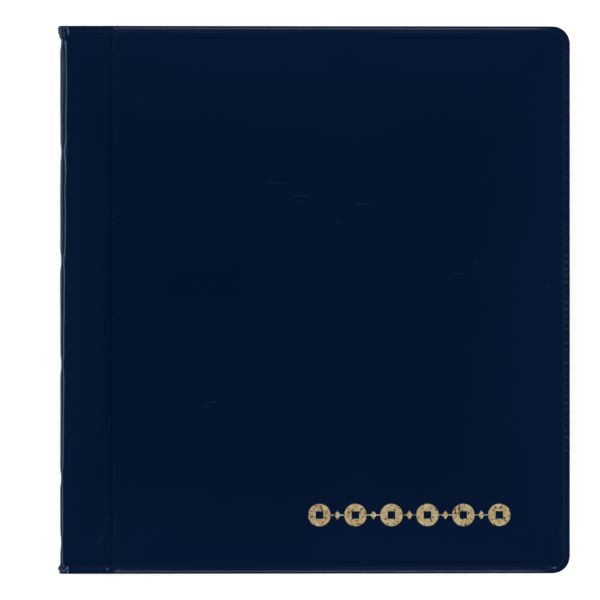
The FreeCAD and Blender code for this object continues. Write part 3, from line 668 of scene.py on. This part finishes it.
navy = {
    "cover": (0.0007, 0.0070, 0.0268, 1),
    "lining": (0.0016, 0.0085, 0.0300, 1),
    # painted sheen: lighter film towards the edges and over the spine strip
    "handledAndSheen": (0.0032, 0.0106, 0.0405, 1),
    "tint": (0.50, 0.76, 1.0, 1),
    # lighter film for scratches, and for the ridge line where it is partly a painted highlight
    "wornAndHighlight": (0.030, 0.046, 0.078, 1),
    # lighter film of the fore-edge beads: a painted highlight
    "bead": (0.040, 0.060, 0.095, 1),
    "dust": (0.12, 0.14, 0.17, 1),
    "shares": {"rubbedAndHighlight": 0.35, "scratch": 0.5, "handledAndSheen": 0.44, "pressed": 0.35},
    "roughness": (0.224, 0.236),
    "roughShares": {"handledAndSheen": 0.034, "pressed": -0.02, "scratch": 0.2},
    "liningRoughness": (0.38, 0.46),
    "specular": 0.38,
}


def shade(colour, factor):
    return [c * factor for c in colour[:3]] + [1]


def navyFilm(name, colour, roughness, grain):
    material, tree, shader = newMaterial(name)
    where = objectPlace(tree)
    film = placeGroup(tree, grainGroup, where, Grain=grain)
    scratch = placeGroup(tree, scratchGroup, where, Amount=0.6).outputs[0]
    dust = placeGroup(tree, dustGroup, where, Amount=0.2).outputs[0]
    mottle = film.outputs["Mottle"]
    cloud = mapRange(tree, mottle, 0.3, 0.7)
    rubbedAndHighlight = mathNode(tree, "MULTIPLY", attributeValue(tree, "rubAndHighlight"), mapRange(tree, mottle, 0.35, 0.7, 0.2))
    pressed, handledAndSheen = attributeValue(tree, "pressed"), attributeValue(tree, "handledAndSheen")
    share = navy["shares"]
    base = mixColour(tree, cloud, shade(colour, 0.94), shade(colour, 1.06))
    # rubbed wear and painted highlight: a lighter line along the ridge over the board's edge
    base = stain(tree, base, rubbedAndHighlight, share["rubbedAndHighlight"], navy["wornAndHighlight"])
    base = stain(tree, base, scratch, share["scratch"], navy["wornAndHighlight"])
    base = mixColour(tree, dust, base, navy["dust"])
    # painted sheen: the base lightened towards the edges and beside the roll
    base = stain(tree, base, handledAndSheen, share["handledAndSheen"], navy["handledAndSheen"])
    # painted shade: the base darkened where the film is pressed into the hinge groove
    base = stain(tree, base, pressed, share["pressed"], shade(colour, 0.55))
    tree.links.new(base, shader.inputs["Base Color"])
    rough = mapRange(tree, mottle, 0.3, 0.7, *roughness)
    for label, mask in (("handledAndSheen", handledAndSheen), ("pressed", pressed), ("scratch", scratch)):
        rough = addShare(tree, rough, mask, navy["roughShares"][label])
    tree.links.new(rough, shader.inputs["Roughness"])
    shader.inputs["Specular IOR Level"].default_value = navy["specular"]
    shader.inputs["Specular Tint"].default_value = navy["tint"]
    addRelief(tree, shader, film.outputs["Height"], 0.3, 0.0002)
    return material


coverMaterial = navyFilm("navyCoverFilm", navy["cover"], navy["roughness"], 0.22)
# the beads' lighter film stands in for their highlight: painted highlight
beadHighlightMaterial = navyFilm("beadHighlightFilm", navy["bead"], (0.30, 0.36), 0.22)
liningMaterial = navyFilm("navyLiningFilm", navy["lining"], navy["liningRoughness"], 0.4)

for name, (piece, replaced, bodies, start, end) in films.items():
    piece.data.materials.append(coverMaterial if name.endswith("Film") else liningMaterial)
    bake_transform(piece)
    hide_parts(*replaced)
print("films finished")


# pressed marks: two rows of imitation stitches in the hinge groove, beads in the fore-edge weld with a
# painted highlight in their lighter film
stitch = {
    "pitch": 3.2 * mm,
    "size": (0.28 * mm, 1.6 * mm, 0.12 * mm),
    "beadSize": (0.66 * mm, 1.15 * mm, 0.50 * mm),
    "beadPlace": 1.75 * mm,  # in from the fore-edge
    "rows": (-0.95 * mm, 0.95 * mm),
    "creaseSize": (2.7 * mm, 0.24 * mm, 0.12 * mm),
    "creasePitch": 1.45 * mm,
    "creasePlace": (4.3 * mm, 5.2 * mm),  # in from the fore-edge and back from the hinge
    "coverCreases": np.linspace(-118.5 * mm, -107.5 * mm, 12),
    "stripCreases": np.linspace(-119.0 * mm, -112.5 * mm, 8),
    "endGap": 4.5 * mm,
    "beadReach": 0.55,  # share of the fore-edge that shows its beads clearly
}


def coverPoint(distance, across, lift):
    # a point on the front cover's outer film
    along = np.full_like(across, distance)
    return lay(coverPath, along, across, coverHeight(along, across, 1)[0] + lift)


def coverMarks():
    across = np.arange(-halfHeight + stitch["endGap"], halfHeight - stitch["endGap"], 0.8 * mm)
    rows = [coverPoint(distance, across, -0.02 * mm) for distance in stitch["rows"]]
    seam = marksAlong("hingeStitches", rows, coverMaterial, {
        "Pitch": stitch["pitch"], "Size": stitch["size"], "Variation": 0.25, "Seed": 4})
    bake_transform(seam)
    for name, place, body in (("coverCreases", coverLength - stitch["creasePlace"][0], "front_cover"),
                              ("stripCreases", -stitch["creasePlace"][1], "front_strip")):
        creases = marksAlong(name, [coverPoint(place, stitch[name], 0)], coverMaterial, {
            "Pitch": stitch["creasePitch"], "Size": stitch["creaseSize"], "Variation": 0.5, "Seed": 2})
        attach(creases, body)
    reach = halfHeight * stitch["beadReach"]
    parts = [(np.arange(-reach, reach * 0.35, 0.8 * mm), 1.0, "foreEdgeBeads", 0.55),
             (np.arange(reach * 0.37, halfHeight - 12 * mm, 0.8 * mm), 0.55, "foreEdgeFaintBeads", 0.35)]
    for span, scale, name, variation in parts:
        beads = marksAlong(name, [coverPoint(coverLength - stitch["beadPlace"], span, 0)], beadHighlightMaterial, {
            "Pitch": stitch["pitch"], "Size": tuple(v * scale for v in stitch["beadSize"]),
            "Variation": variation, "Seed": 9})
        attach(beads, "front_cover")


coverMarks()
print("pressed marks finished")


# stamped row of coins

foil = {
    "coins": 6,
    "segments": 64,
    "rings": 5,
    "lift": 0.05 * mm,
    "gauge": 0.04 * mm,
    "hole": 0.34,  # shares of a coin's diameter
    "lozenge": (0.28, 0.40),
    "rule": 0.5 * mm,
    "gold": (0.59, 0.445, 0.205, 1),
    "pale": (0.78, 0.66, 0.40, 1),
    "pit": (0.07, 0.030, 0.018, 1),
}


def foilMaterial():
    material, tree, shader = newMaterial("stampedGold")
    where = objectPlace(tree)
    pits = mapRange(tree, noise(tree, where, 900.0, 2.0), 0.56, 0.64)
    thin = mapRange(tree, noise(tree, where, 240.0, 3.0), 0.55, 0.70)
    fine = placeGroup(tree, grainGroup, where, Grain=1.0, Drape=0.3)
    dust = placeGroup(tree, dustGroup, where, Amount=0.4, Scale=1500.0).outputs[0]
    base = mixColour(tree, mapRange(tree, noise(tree, where, 420.0, 2.0), 0.4, 0.65),
                     foil["gold"], foil["pale"])
    base = stain(tree, base, thin, 0.35, shade(foil["gold"], 0.5))
    base = mixColour(tree, pits, base, foil["pit"])
    base = mixColour(tree, dust, base, navy["dust"])
    tree.links.new(base, shader.inputs["Base Color"])
    tree.links.new(mapRange(tree, pits, 0.0, 1.0, 0.4, 0.0), shader.inputs["Metallic"])
    tree.links.new(mapRange(tree, thin, 0.0, 1.0, 0.42, 0.62), shader.inputs["Roughness"])
    addRelief(tree, shader, fine.outputs["Height"], 0.5, 0.0003)
    return material


def foilPatch(outlines, points, faces):
    # fill between nested outlines of equal count with faces
    count = len(outlines[0])
    start = len(points)
    for outline in outlines:
        points += outline
    for ring in range(len(outlines) - 1):
        for k in range(count):
            a, b = start + ring * count + k, start + ring * count + (k + 1) % count
            faces.append((a, b, b + count, a + count))


def foilRow():
    low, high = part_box("foil_ornament")
    diameter = high.y - low.y
    middleY = (high.y + low.y) / 2
    first = (low.x - seamLine.x) / math.cos(tilt) + diameter / 2
    last = (high.x - seamLine.x) / math.cos(tilt) - diameter / 2
    pitch = (last - first) / (foil["coins"] - 1)
    flat, faces = [], []
    angles = [2 * math.pi * k / foil["segments"] for k in range(foil["segments"])]
    for number in range(foil["coins"]):
        centre = first + number * pitch
        outlines = []
        for ring in range(foil["rings"] + 1):
            share = ring / foil["rings"]
            line = []
            for angle in angles:
                square = diameter * foil["hole"] / 2 / max(abs(math.cos(angle)), abs(math.sin(angle)))
                radius = square + (diameter / 2 - square) * share
                line.append((centre + radius * math.cos(angle), middleY + radius * math.sin(angle)))
            outlines.append(line)
        foilPatch(outlines, flat, faces)
    for number in range(foil["coins"] - 1):
        centre = first + (number + 0.5) * pitch
        halfX, halfY = diameter * foil["lozenge"][0] / 2, diameter * foil["lozenge"][1] / 2
        tips = [(centre - halfX, middleY), (centre, middleY - halfY),
                (centre + halfX, middleY), (centre, middleY + halfY)]
        foilPatch([[(centre, middleY)] * 4, tips], flat, faces)
        for side in (-1, 1):
            near = centre + side * halfX * 0.7
            far = centre + side * (pitch / 2 - diameter / 2 + 0.05 * mm)
            low, high = middleY - foil["rule"] / 2, middleY + foil["rule"] / 2
            start = len(flat)
            flat.extend([(near, low), (far, low), (far, high), (near, high)])
            faces.append((start, start + 1, start + 2, start + 3))
    flat = np.array(flat)
    along, across = flat[:, 0], flat[:, 1]
    height = coverHeight(along, across, 1)[0]
    points = np.concatenate([lay(coverPath, along, across, height + foil["lift"]),
                             lay(coverPath, along, across, height - foil["gauge"])])
    count = len(flat)
    edges = dict.fromkeys(pair for face in faces for pair in zip(face, face[1:] + face[:1]))
    closed = faces + [tuple(count + v for v in face[::-1]) for face in faces]
    # walls along the edges that only one face uses
    closed += [(b, a, count + a, count + b) for a, b in edges if (b, a) not in edges]
    piece = meshPiece("foilRow", points.tolist(), closed, 40)
    shape = bmesh.new()
    shape.from_mesh(piece.data)
    bmesh.ops.remove_doubles(shape, verts=shape.verts, dist=1e-7)
    shape.to_mesh(piece.data)
    shape.free()
    piece.data.materials.append(foilMaterial())
    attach(piece, "front_cover")
    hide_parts("foil_ornament")


foilRow()
print("foil finished")


# pocket sheets and cards

leaf = {
    "grids": ((3, 4), (4, 5), (4, 5), (5, 6), (5, 6), (4, 5), (4, 5), (5, 6), (3, 4), (4, 5)),
    "holeEdge": 6.0 * mm,  # hole line to the binding edge
    "strip": 15 * mm,  # binding edge to the first weld
    "weld": 1.6 * mm,
    "weldSink": 0.06 * mm,
    "stripSink": 0.0135 * mm,
    "holeRadius": 3.25 * mm,
    "slit": (2.0 * mm, 0.03 * mm),  # distance from the pocket's head and step of its lip
    "endBand": 2.0 * mm,  # how much of each end of a leaf gives its direction
    "clear": (0.80, 0.87, 0.92, 1),
    "welded": (0.90, 0.93, 0.95, 1),
    "card": (0.80, 0.79, 0.74, 1),
    "cardLight": (0.86, 0.85, 0.81, 1),
    "fibre": (0.66, 0.63, 0.56, 1),
    "lipLines": (3.2, 2.3, 2.0, 1.9, 1.0, 0.4, 0.0),  # grid lines at a pocket's head, in mm from its weld
}


def leafFrame(node):
    # where a leaf lies: its hole line's place, its direction in X and Z and its half thickness
    shape = frame["nodes"][node]
    points = np.array([shape.matrix_world @ vertex.co for vertex in shape.data.vertices])
    x = points[:, 0]
    near = points[x < x.min() + leaf["endBand"]].mean(axis=0)
    far = points[x > x.max() - leaf["endBand"]].mean(axis=0)
    angle = math.atan2(far[2] - near[2], far[0] - near[0])
    c, s = math.cos(angle), math.sin(angle)
    u = x * c + points[:, 2] * s
    w = -x * s + points[:, 2] * c
    return {"c": c, "s": s, "u": (u.min(), u.max()), "y": points[:, 1].max(),
            "w": (w.min() + w.max()) / 2, "half": (w.max() - w.min()) / 2}


def leafPoints(place, u, y, w):
    return np.stack([u * place["c"] - w * place["s"], y, u * place["s"] + w * place["c"]], axis=-1)


def weldLines(start, end, count, weld):
    # sample places and pocket edges along one direction, welds between and beside the pockets
    pitch = (end - start - weld) / count
    samples, edges = [start], []
    for number in range(count):
        low, high = start + weld + number * pitch, start + (number + 1) * pitch
        edges.append((low, high))
        samples += [low - weld / 2, low, low + 0.3 * mm, low + 0.7 * mm, low + 1.6 * mm]
        samples += list(np.linspace(low + 5 * mm, high - 5 * mm, 4))
        samples += [high - line * mm for line in leaf["lipLines"]]
    samples.append(end)
    return np.array(samples), edges


def pocketShare(value, edges):
    # 0 on a weld, rising to 1 inside a pocket
    share = np.zeros_like(value)
    for low, high in edges:
        inside = smoothStep(low, low + 0.8 * mm, value) * (1 - smoothStep(high - 0.8 * mm, high, value))
        share = np.maximum(share, inside)
    return share


def punchHoles(piece, place):
    rings = [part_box("upper_ring_%d" % number) for number in range(1, 5)]
    stations = sorted((low.y + high.y) / 2 for low, high in rings)
    u = place["u"][0] + leaf["holeEdge"]
    shape = bmesh.new()
    for y in stations:
        centre = leafPoints(place, u, y, place["w"])
        made = bmesh.ops.create_cone(shape, cap_ends=True, segments=40, radius1=leaf["holeRadius"],
                                     radius2=leaf["holeRadius"], depth=4 * place["half"] + 1 * mm)
        bmesh.ops.translate(shape, verts=made["verts"], vec=Vector(centre))
    mesh = bpy.data.meshes.new("punch")
    shape.to_mesh(mesh)
    shape.free()
    cutter = addObject("punch", mesh)
    cut = piece.modifiers.new("holes", "BOOLEAN")
    cut.operation = "DIFFERENCE"
    cut.solver = "EXACT"
    cut.object = cutter
    plain = bpy.data.meshes.new_from_object(piece.evaluated_get(bpy.context.evaluated_depsgraph_get()))
    piece.modifiers.remove(cut)
    piece.data = plain
    plain.name = piece.name
    bpy.data.objects.remove(cutter)
    for polygon in plain.polygons:
        polygon.use_smooth = True
    plain.set_sharp_from_angle(angle=math.radians(30))


def leafPiece(name, node, pockets):
    place = leafFrame(node)
    low, high = place["u"]
    half, foot, head = place["half"], -place["y"], place["y"]
    if pockets:
        columns, rows = pockets
        acrossAt, columnEdges = weldLines(low + leaf["strip"], high, columns, leaf["weld"])
        alongAt, rowEdges = weldLines(foot, head, rows, leaf["weld"])
        # the binding strip ahead of the first weld
        ahead = np.linspace(low + 5 * mm, low + 14 * mm, 3)
        acrossAt = np.concatenate([[low, low + 1.2 * mm], ahead, acrossAt])
    else:
        rim = 0.4 * mm
        acrossAt = np.concatenate([[low, low + rim], np.linspace(low + 14 * mm, high - rim, 6), [high]])
        alongAt = np.concatenate([[foot, foot + rim], np.linspace(foot + 12 * mm, head - 12 * mm, 6),
                                  [head - rim, head]])
    u, y = np.meshgrid(acrossAt, alongAt, indexing="ij")
    top = np.full_like(u, half)
    if pockets:
        share = pocketShare(u, columnEdges) * pocketShare(y, rowEdges)
        onStrip = 1 - smoothStep(low + leaf["strip"] - 0.8 * mm, low + leaf["strip"], u)
        sink = leaf["weldSink"] * (1 - onStrip) + leaf["stripSink"] * onStrip
        top = half - (1 - share) * sink
    bottom = -top
    if pockets:
        fromHead, step = leaf["slit"]
        for edge in rowEdges:
            top = top - step * (y > edge[1] - fromHead) * (y < edge[1]) * share
    piece = closedShell(name, leafPoints(place, u, y, place["w"] + top),
                        leafPoints(place, u, y, place["w"] + bottom))
    if pockets:
        weld = (1 - share) * (1 - onStrip)
        addMask(piece, "weld", np.concatenate([weld.reshape(-1), weld.reshape(-1)]))
    punchHoles(piece, place)
    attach(piece, node)
    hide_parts(node)
    return piece


def clearFilm():
    material, tree, shader = newMaterial("clearPocketFilm")
    where = objectPlace(tree)
    weld = attributeValue(tree, "weld")
    ripple = placeGroup(tree, grainGroup, where, Grain=0.08, Drape=1.0)
    scratch = placeGroup(tree, scratchGroup, where, Amount=0.8).outputs[0]
    dust = placeGroup(tree, dustGroup, where, Amount=0.5).outputs[0]
    milky = mathNode(tree, "MULTIPLY", weld, 0.22)
    milky = addShare(tree, addShare(tree, milky, scratch, 0.15), dust, 0.3)
    rough = mathNode(tree, "ADD", mathNode(tree, "MULTIPLY", milky, 0.6), 0.09)
    tree.links.new(mixColour(tree, weld, leaf["clear"], leaf["welded"]), shader.inputs["Base Color"])
    tree.links.new(mathNode(tree, "ADD", milky, 0.22, clamp=True), shader.inputs["Alpha"])
    tree.links.new(rough, shader.inputs["Roughness"])
    addRelief(tree, shader, ripple.outputs["Height"], 0.6, 0.002)
    return material


def cardStock():
    material, tree, shader = newMaterial("smoothCard")
    where = objectPlace(tree)
    fibre = noise(tree, where, 260.0, 4.0, (1.0, 5.0, 1.0), 1.2)
    cloud = noise(tree, where, 20.0, 3.0)
    dust = placeGroup(tree, dustGroup, where, Amount=0.3).outputs[0]
    base = mixColour(tree, mapRange(tree, cloud, 0.3, 0.7), leaf["card"], leaf["cardLight"])
    base = mixColour(tree, mapRange(tree, fibre, 0.6, 0.75, 0.0, 0.35), base, leaf["fibre"])
    base = mixColour(tree, dust, base, (0.35, 0.33, 0.30, 1))
    tree.links.new(base, shader.inputs["Base Color"])
    shader.inputs["Roughness"].default_value = 0.62
    shader.inputs["Specular IOR Level"].default_value = 0.3
    addRelief(tree, shader, fibre, 0.25, 0.0002)
    return material


sheetMaterial, cardMaterial = clearFilm(), cardStock()
for number, pockets in enumerate(leaf["grids"], 1):
    for node, kind, material, label in (("pocket_sheet_%02d" % number, pockets, sheetMaterial, "clear_film"),
                                        ("card_%02d" % number, None, cardMaterial, "card_stock")):
        piece = leafPiece(("pocketSheet%02d" if kind else "dividerCard%02d") % number, node, kind)
        piece.data.materials.clear()
        piece.data.materials.append(material)
print("leaves finished")


# metal parts and boards

def nickel(name, base, roughness, grain):
    material, tree, shader = newMaterial(name)
    where = objectPlace(tree)
    brushed = noise(tree, where, 500.0, 3.0, grain)
    cloud = noise(tree, where, 60.0, 3.0)
    scratch = placeGroup(tree, scratchGroup, where, Amount=0.8).outputs[0]
    dust = placeGroup(tree, dustGroup, where, Amount=0.5, Scale=1200.0).outputs[0]
    colour = mixColour(tree, mapRange(tree, cloud, 0.35, 0.7), shade(base, 0.88), base)
    tree.links.new(stain(tree, colour, dust, 0.6, (0.25, 0.24, 0.22, 1)), shader.inputs["Base Color"])
    shader.inputs["Metallic"].default_value = 1.0
    rough = addShare(tree, mapRange(tree, brushed, 0.3, 0.7, *roughness), scratch, 0.25)
    tree.links.new(addShare(tree, rough, dust, 0.3, clamp=True), shader.inputs["Roughness"])
    addRelief(tree, shader, brushed, 0.12, 0.0001)
    return material


board = {"dark": (0.25, 0.22, 0.19, 1), "light": (0.38, 0.35, 0.31, 1), "fleck": (0.10, 0.09, 0.08, 1)}


def pressedBoard():
    material, tree, shader = newMaterial("pressedGreyboard")
    where = objectPlace(tree)
    fibre = noise(tree, where, 320.0, 5.0, (1.0, 3.0, 1.0), 1.5)
    fleck = noise(tree, where, 900.0, 1.0)
    base = mixColour(tree, mapRange(tree, fibre, 0.35, 0.65), board["dark"], board["light"])
    base = mixColour(tree, mapRange(tree, fleck, 0.66, 0.74, 0.0, 0.7), base, board["fleck"])
    tree.links.new(base, shader.inputs["Base Color"])
    shader.inputs["Roughness"].default_value = 0.92
    addRelief(tree, shader, fibre, 0.5, 0.0005)
    return material


ringNickel = nickel("ringNickel", (0.66, 0.65, 0.62, 1), (0.12, 0.20), (1.0, 0.2, 1.0))
plateNickel = nickel("plateNickel", (0.60, 0.59, 0.57, 1), (0.20, 0.26), (1.0, 0.05, 1.0))
greyboard = pressedBoard()
for node, shape in frame["nodes"].items():
    material = None
    if "ring_" in node and node != "ring_plate":
        material = ringNickel
    elif node in ("ring_plate", "upper_blade", "lower_blade", "head_lever", "foot_lever", "spine_rivets"):
        material = plateNickel
    elif node.endswith("board"):
        material = greyboard
    if material:
        for place in shape.material_slots:
            place.material = material
print("metal and boards finished")


# camera, light and floor

studio = {
    "eye": (-7.4 * mm, -0.07 * mm, 4.4),
    "lens": 542.0,
    "floor": (0.94, 0.94, 0.94, 1),
    "glow": 0.50,
    "mirrored": 0.72,  # share of the floor's light that shows in reflections
    "lights": (  # name, place, width, height, power
        ("leftBox", (-2.0, 0.1, 1.75), 2.0, 0.42, 31),
        ("rightBox", (2.2, 0.0, 1.05), 2.0, 0.35, 32),
        ("headBox", (0.1, 2.2, 1.05), 2.0, 0.35, 36),
        ("footBox", (0.0, -2.2, 1.05), 2.0, 0.35, 31),
    ),
}


def makeStudio():
    eye = bpy.data.cameras.new("studioCamera")
    eye.lens = studio["lens"]
    eye.sensor_width = 36
    eye.clip_end = 20
    holder = addObject("studioCamera", eye)
    holder.location = studio["eye"]
    scene.camera = holder
    for name, place, width, height, power in studio["lights"]:
        lamp = bpy.data.lights.new(name, "AREA")
        lamp.shape = "RECTANGLE"
        lamp.size, lamp.size_y, lamp.energy = width, height, power
        stand = addObject(name, lamp)
        stand.location = place
        stand.rotation_euler = (-Vector(place)).to_track_quat("-Z", "Y").to_euler()
    size = 4.0
    mesh = bpy.data.meshes.new("studioFloor")
    corners = [(-size, -size, 0), (size, -size, 0), (size, size, 0), (-size, size, 0)]
    mesh.from_pydata(corners, [], [(0, 1, 2, 3)])
    floor = addObject("studioFloor", mesh)
    material, tree, shader = newMaterial("palePaper")
    mirrored = tree.nodes.new("ShaderNodeLightPath").outputs["Is Glossy Ray"]
    tree.links.new(mixColour(tree, mirrored, studio["floor"], shade(studio["floor"], studio["mirrored"])),
                   shader.inputs["Base Color"])
    shader.inputs["Roughness"].default_value = 0.9
    shader.inputs["Specular IOR Level"].default_value = 0.1
    shader.inputs["Emission Color"].default_value = (1, 1, 1, 1)
    tree.links.new(mapRange(tree, mirrored, 0.0, 1.0, studio["glow"], studio["glow"] * studio["mirrored"]),
                   shader.inputs["Emission Strength"])
    mesh.materials.append(material)
    world = bpy.data.worlds.new("studioWorld")
    world.use_nodes = True
    back = world.node_tree.nodes["Background"]
    back.inputs[0].default_value = (0.85, 0.92, 1.0, 1)
    back.inputs[1].default_value = 0.012
    scene.world = world
    scene.view_settings.view_transform = "Standard"


makeStudio()
print("studio set")
